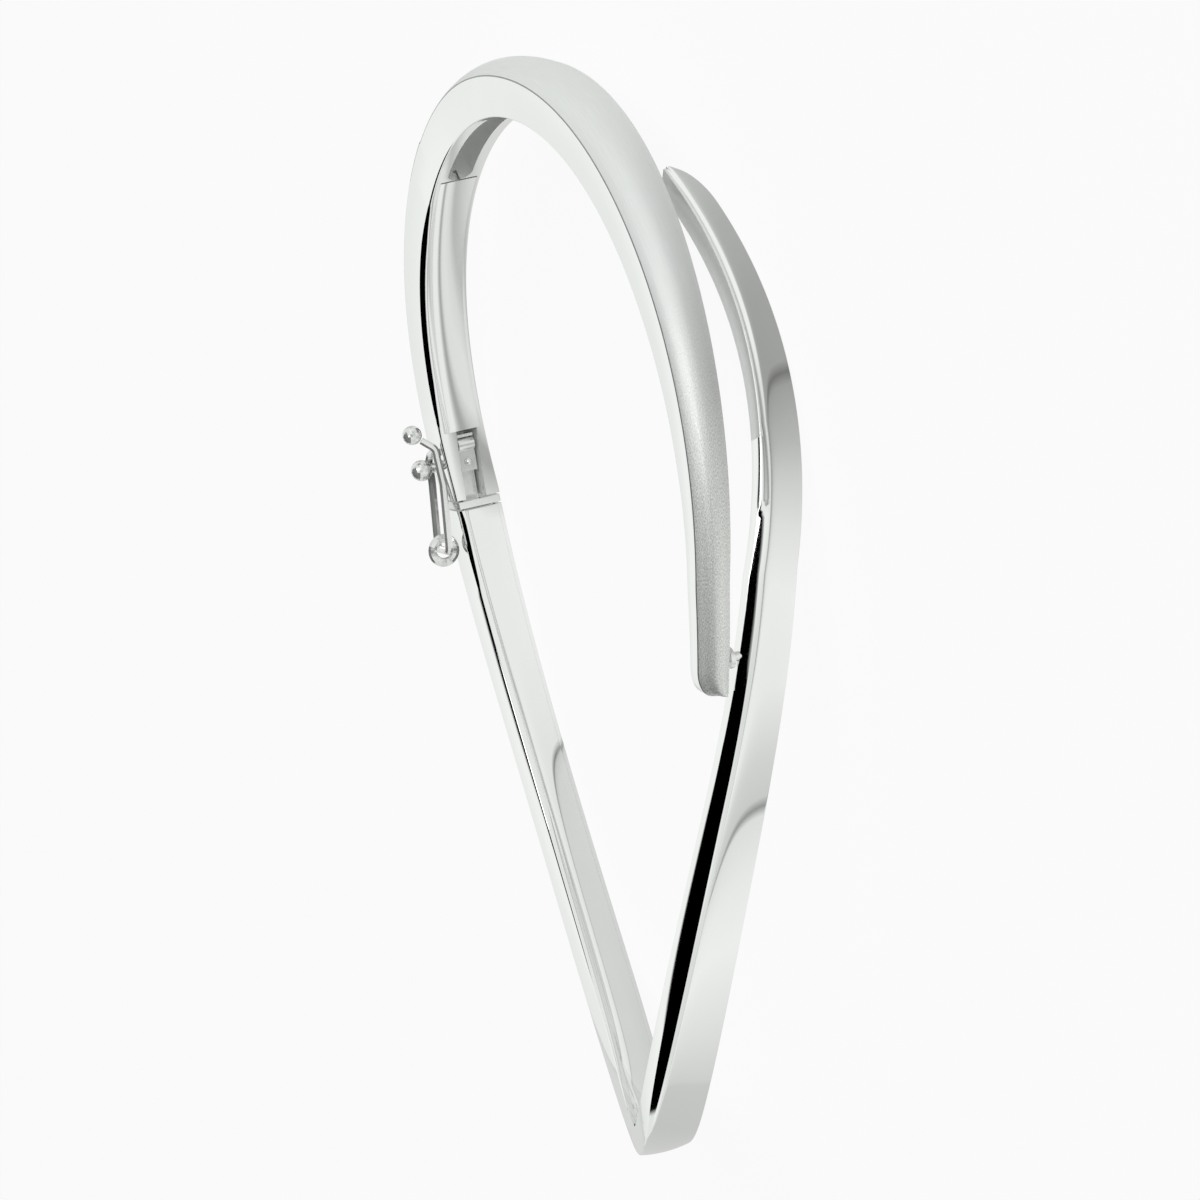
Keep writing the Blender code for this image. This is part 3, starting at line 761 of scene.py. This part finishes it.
def make_floor():
    """Table that the camera sees near-white, while reflections see bands of glowing tone painted on it,
    which the polished faces show as painted reflections.
    """
    bm = bmesh.new()
    bmesh.ops.create_circle(bm, cap_ends=True, segments=96, radius=FLOOR_RADIUS)
    mesh = bpy.data.meshes.new("table_top")
    bm.to_mesh(mesh)
    bm.free()
    floor = bpy.data.objects.new("table_top", mesh)
    floor.location = (0, 0, -FLOOR_DROP)
    material = bpy.data.materials.new("pale_table")
    nodes, links = tree_of(material)
    nodes.clear()
    matte = nodes.new("ShaderNodeBsdfDiffuse")
    matte.inputs["Color"].default_value = (*FLOOR_GREY, 1)
    place = nodes.new("ShaderNodeTexCoord").outputs["Object"]
    away = nodes.new("ShaderNodeVectorMath")
    away.operation = "LENGTH"
    links.new(place, away.inputs[0])
    beyond = spread(nodes, links, away.outputs["Value"], 0.0, 1.0, *FLOOR_INSIDE)
    angle = nodes.new("ShaderNodeTexGradient")
    angle.gradient_type = "RADIAL"
    from_front = nodes.new("ShaderNodeMapping")
    from_front.inputs["Rotation"].default_value = (0.0, 0.0, math.radians(90))
    links.new(place, from_front.inputs["Vector"])
    links.new(from_front.outputs["Vector"], angle.inputs["Vector"])
    swirl = nodes.new("ShaderNodeMath")
    swirl.operation = "MULTIPLY_ADD"
    swirl.inputs[1].default_value = FLOOR_SWIRL
    links.new(away.outputs["Value"], swirl.inputs[0])
    links.new(angle.outputs["Fac"], swirl.inputs[2])
    shift = FLOOR_SWIRL * FLOOR_SWIRL_AT
    painted_round_glow = tone_ramp(nodes, links, swirl.outputs["Value"], PAINTED_ROUND_REFLECTIONS, 360.0, shift)
    sides = nodes.new("ShaderNodeSeparateXYZ")
    links.new(place, sides.inputs["Vector"])
    across = spread(nodes, links, sides.outputs["X"], 0.0, 1.0, -INSIDE_SPAN, INSIDE_SPAN)
    inside = tone_ramp(nodes, links, across, PAINTED_INSIDE_REFLECTIONS, 2 * INSIDE_SPAN / MM, 0.0)
    # Painted reflections: the banded tones glow, and only reflections see them.
    painted_reflection_glow = nodes.new("ShaderNodeEmission")
    blend = nodes.new("ShaderNodeMix")
    blend.data_type = "RGBA"
    links.new(inside, blend.inputs["A"])
    links.new(painted_round_glow, blend.inputs["B"])
    links.new(beyond, blend.inputs["Factor"])
    links.new(blend.outputs["Result"], painted_reflection_glow.inputs["Color"])
    card = mix_shaders(nodes, links, FLOOR_GLOW, matte.outputs["BSDF"], painted_reflection_glow.outputs["Emission"])
    white = nodes.new("ShaderNodeEmission")
    shown = mix_shaders(nodes, links, FLOOR_WHITE, matte.outputs["BSDF"], white.outputs["Emission"])
    # The camera sees the near-white table; every other ray sees the painted reflection bands.
    path = nodes.new("ShaderNodeLightPath")
    mix = mix_shaders(nodes, links, path.outputs["Is Camera Ray"], card, shown)
    out = nodes.new("ShaderNodeOutputMaterial")
    links.new(mix, out.inputs["Surface"])
    mesh.materials.append(material)
    bpy.context.scene.collection.objects.link(floor)


def make_sky():
    """Light tent: cloudy white all round, with a dark opening overhead and a dark gap in front."""
    world = bpy.data.worlds.new("light_tent")
    bpy.context.scene.world = world
    world.use_nodes = True
    nodes, links = world.node_tree.nodes, world.node_tree.links
    nodes.clear()
    look = nodes.new("ShaderNodeTexCoord").outputs["Generated"]
    facing = nodes.new("ShaderNodeVectorMath")
    facing.operation = "DOT_PRODUCT"
    facing.inputs[1].default_value = Vector(OPENING_TOWARDS).normalized()
    links.new(look, facing.inputs[0])
    opening = spread(nodes, links, facing.outputs["Value"], 1.0, 0.0, *OPENING_EDGE)
    ahead = nodes.new("ShaderNodeVectorMath")
    ahead.operation = "DOT_PRODUCT"
    ahead.inputs[1].default_value = Vector(FRONT_GAP_TOWARDS).normalized()
    links.new(look, ahead.inputs[0])
    gap = spread(nodes, links, ahead.outputs["Value"], 1.0, 0.0, *FRONT_GAP_EDGE)
    both = nodes.new("ShaderNodeMath")
    both.operation = "MINIMUM"
    links.new(opening, both.inputs[0])
    links.new(gap, both.inputs[1])
    cloth = noise(nodes, links, look, 1.6, 1.0)
    tone = tint(nodes, links, spread(nodes, links, cloth, 0.0, 1.0, 0.35, 0.65), TENT_GREY, TENT_WHITE)
    glow = nodes.new("ShaderNodeBackground")
    links.new(tone, glow.inputs["Color"])
    links.new(both.outputs["Value"], glow.inputs["Strength"])
    out = nodes.new("ShaderNodeOutputWorld")
    links.new(glow.outputs["Background"], out.inputs["Surface"])


def make_lamp(name, place, size, power):
    data = bpy.data.lights.new(name, "AREA")
    data.shape = "SQUARE"
    data.size = size
    data.energy = power
    lamp = bpy.data.objects.new(name, data)
    lamp.location = place
    lamp.rotation_euler = Vector(place).to_track_quat("Z", "Y").to_euler()
    bpy.context.scene.collection.objects.link(lamp)


for node in ("hinge_pin", "hinge_washer", "catch_stud", "clasp_tongue", "catch_eyelet", "clasp_spring",
             "clasp_button", "safety_catch", "catch_ball"):
    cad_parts[node].data.materials.clear()
    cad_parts[node].data.materials.append(SMALL)

make_bands()
make_camera()
make_floor()
make_sky()
make_lamp("soft_front", LAMP_PLACE, LAMP_SIZE, LAMP_POWER)
bpy.context.scene.view_settings.view_transform = "Standard"
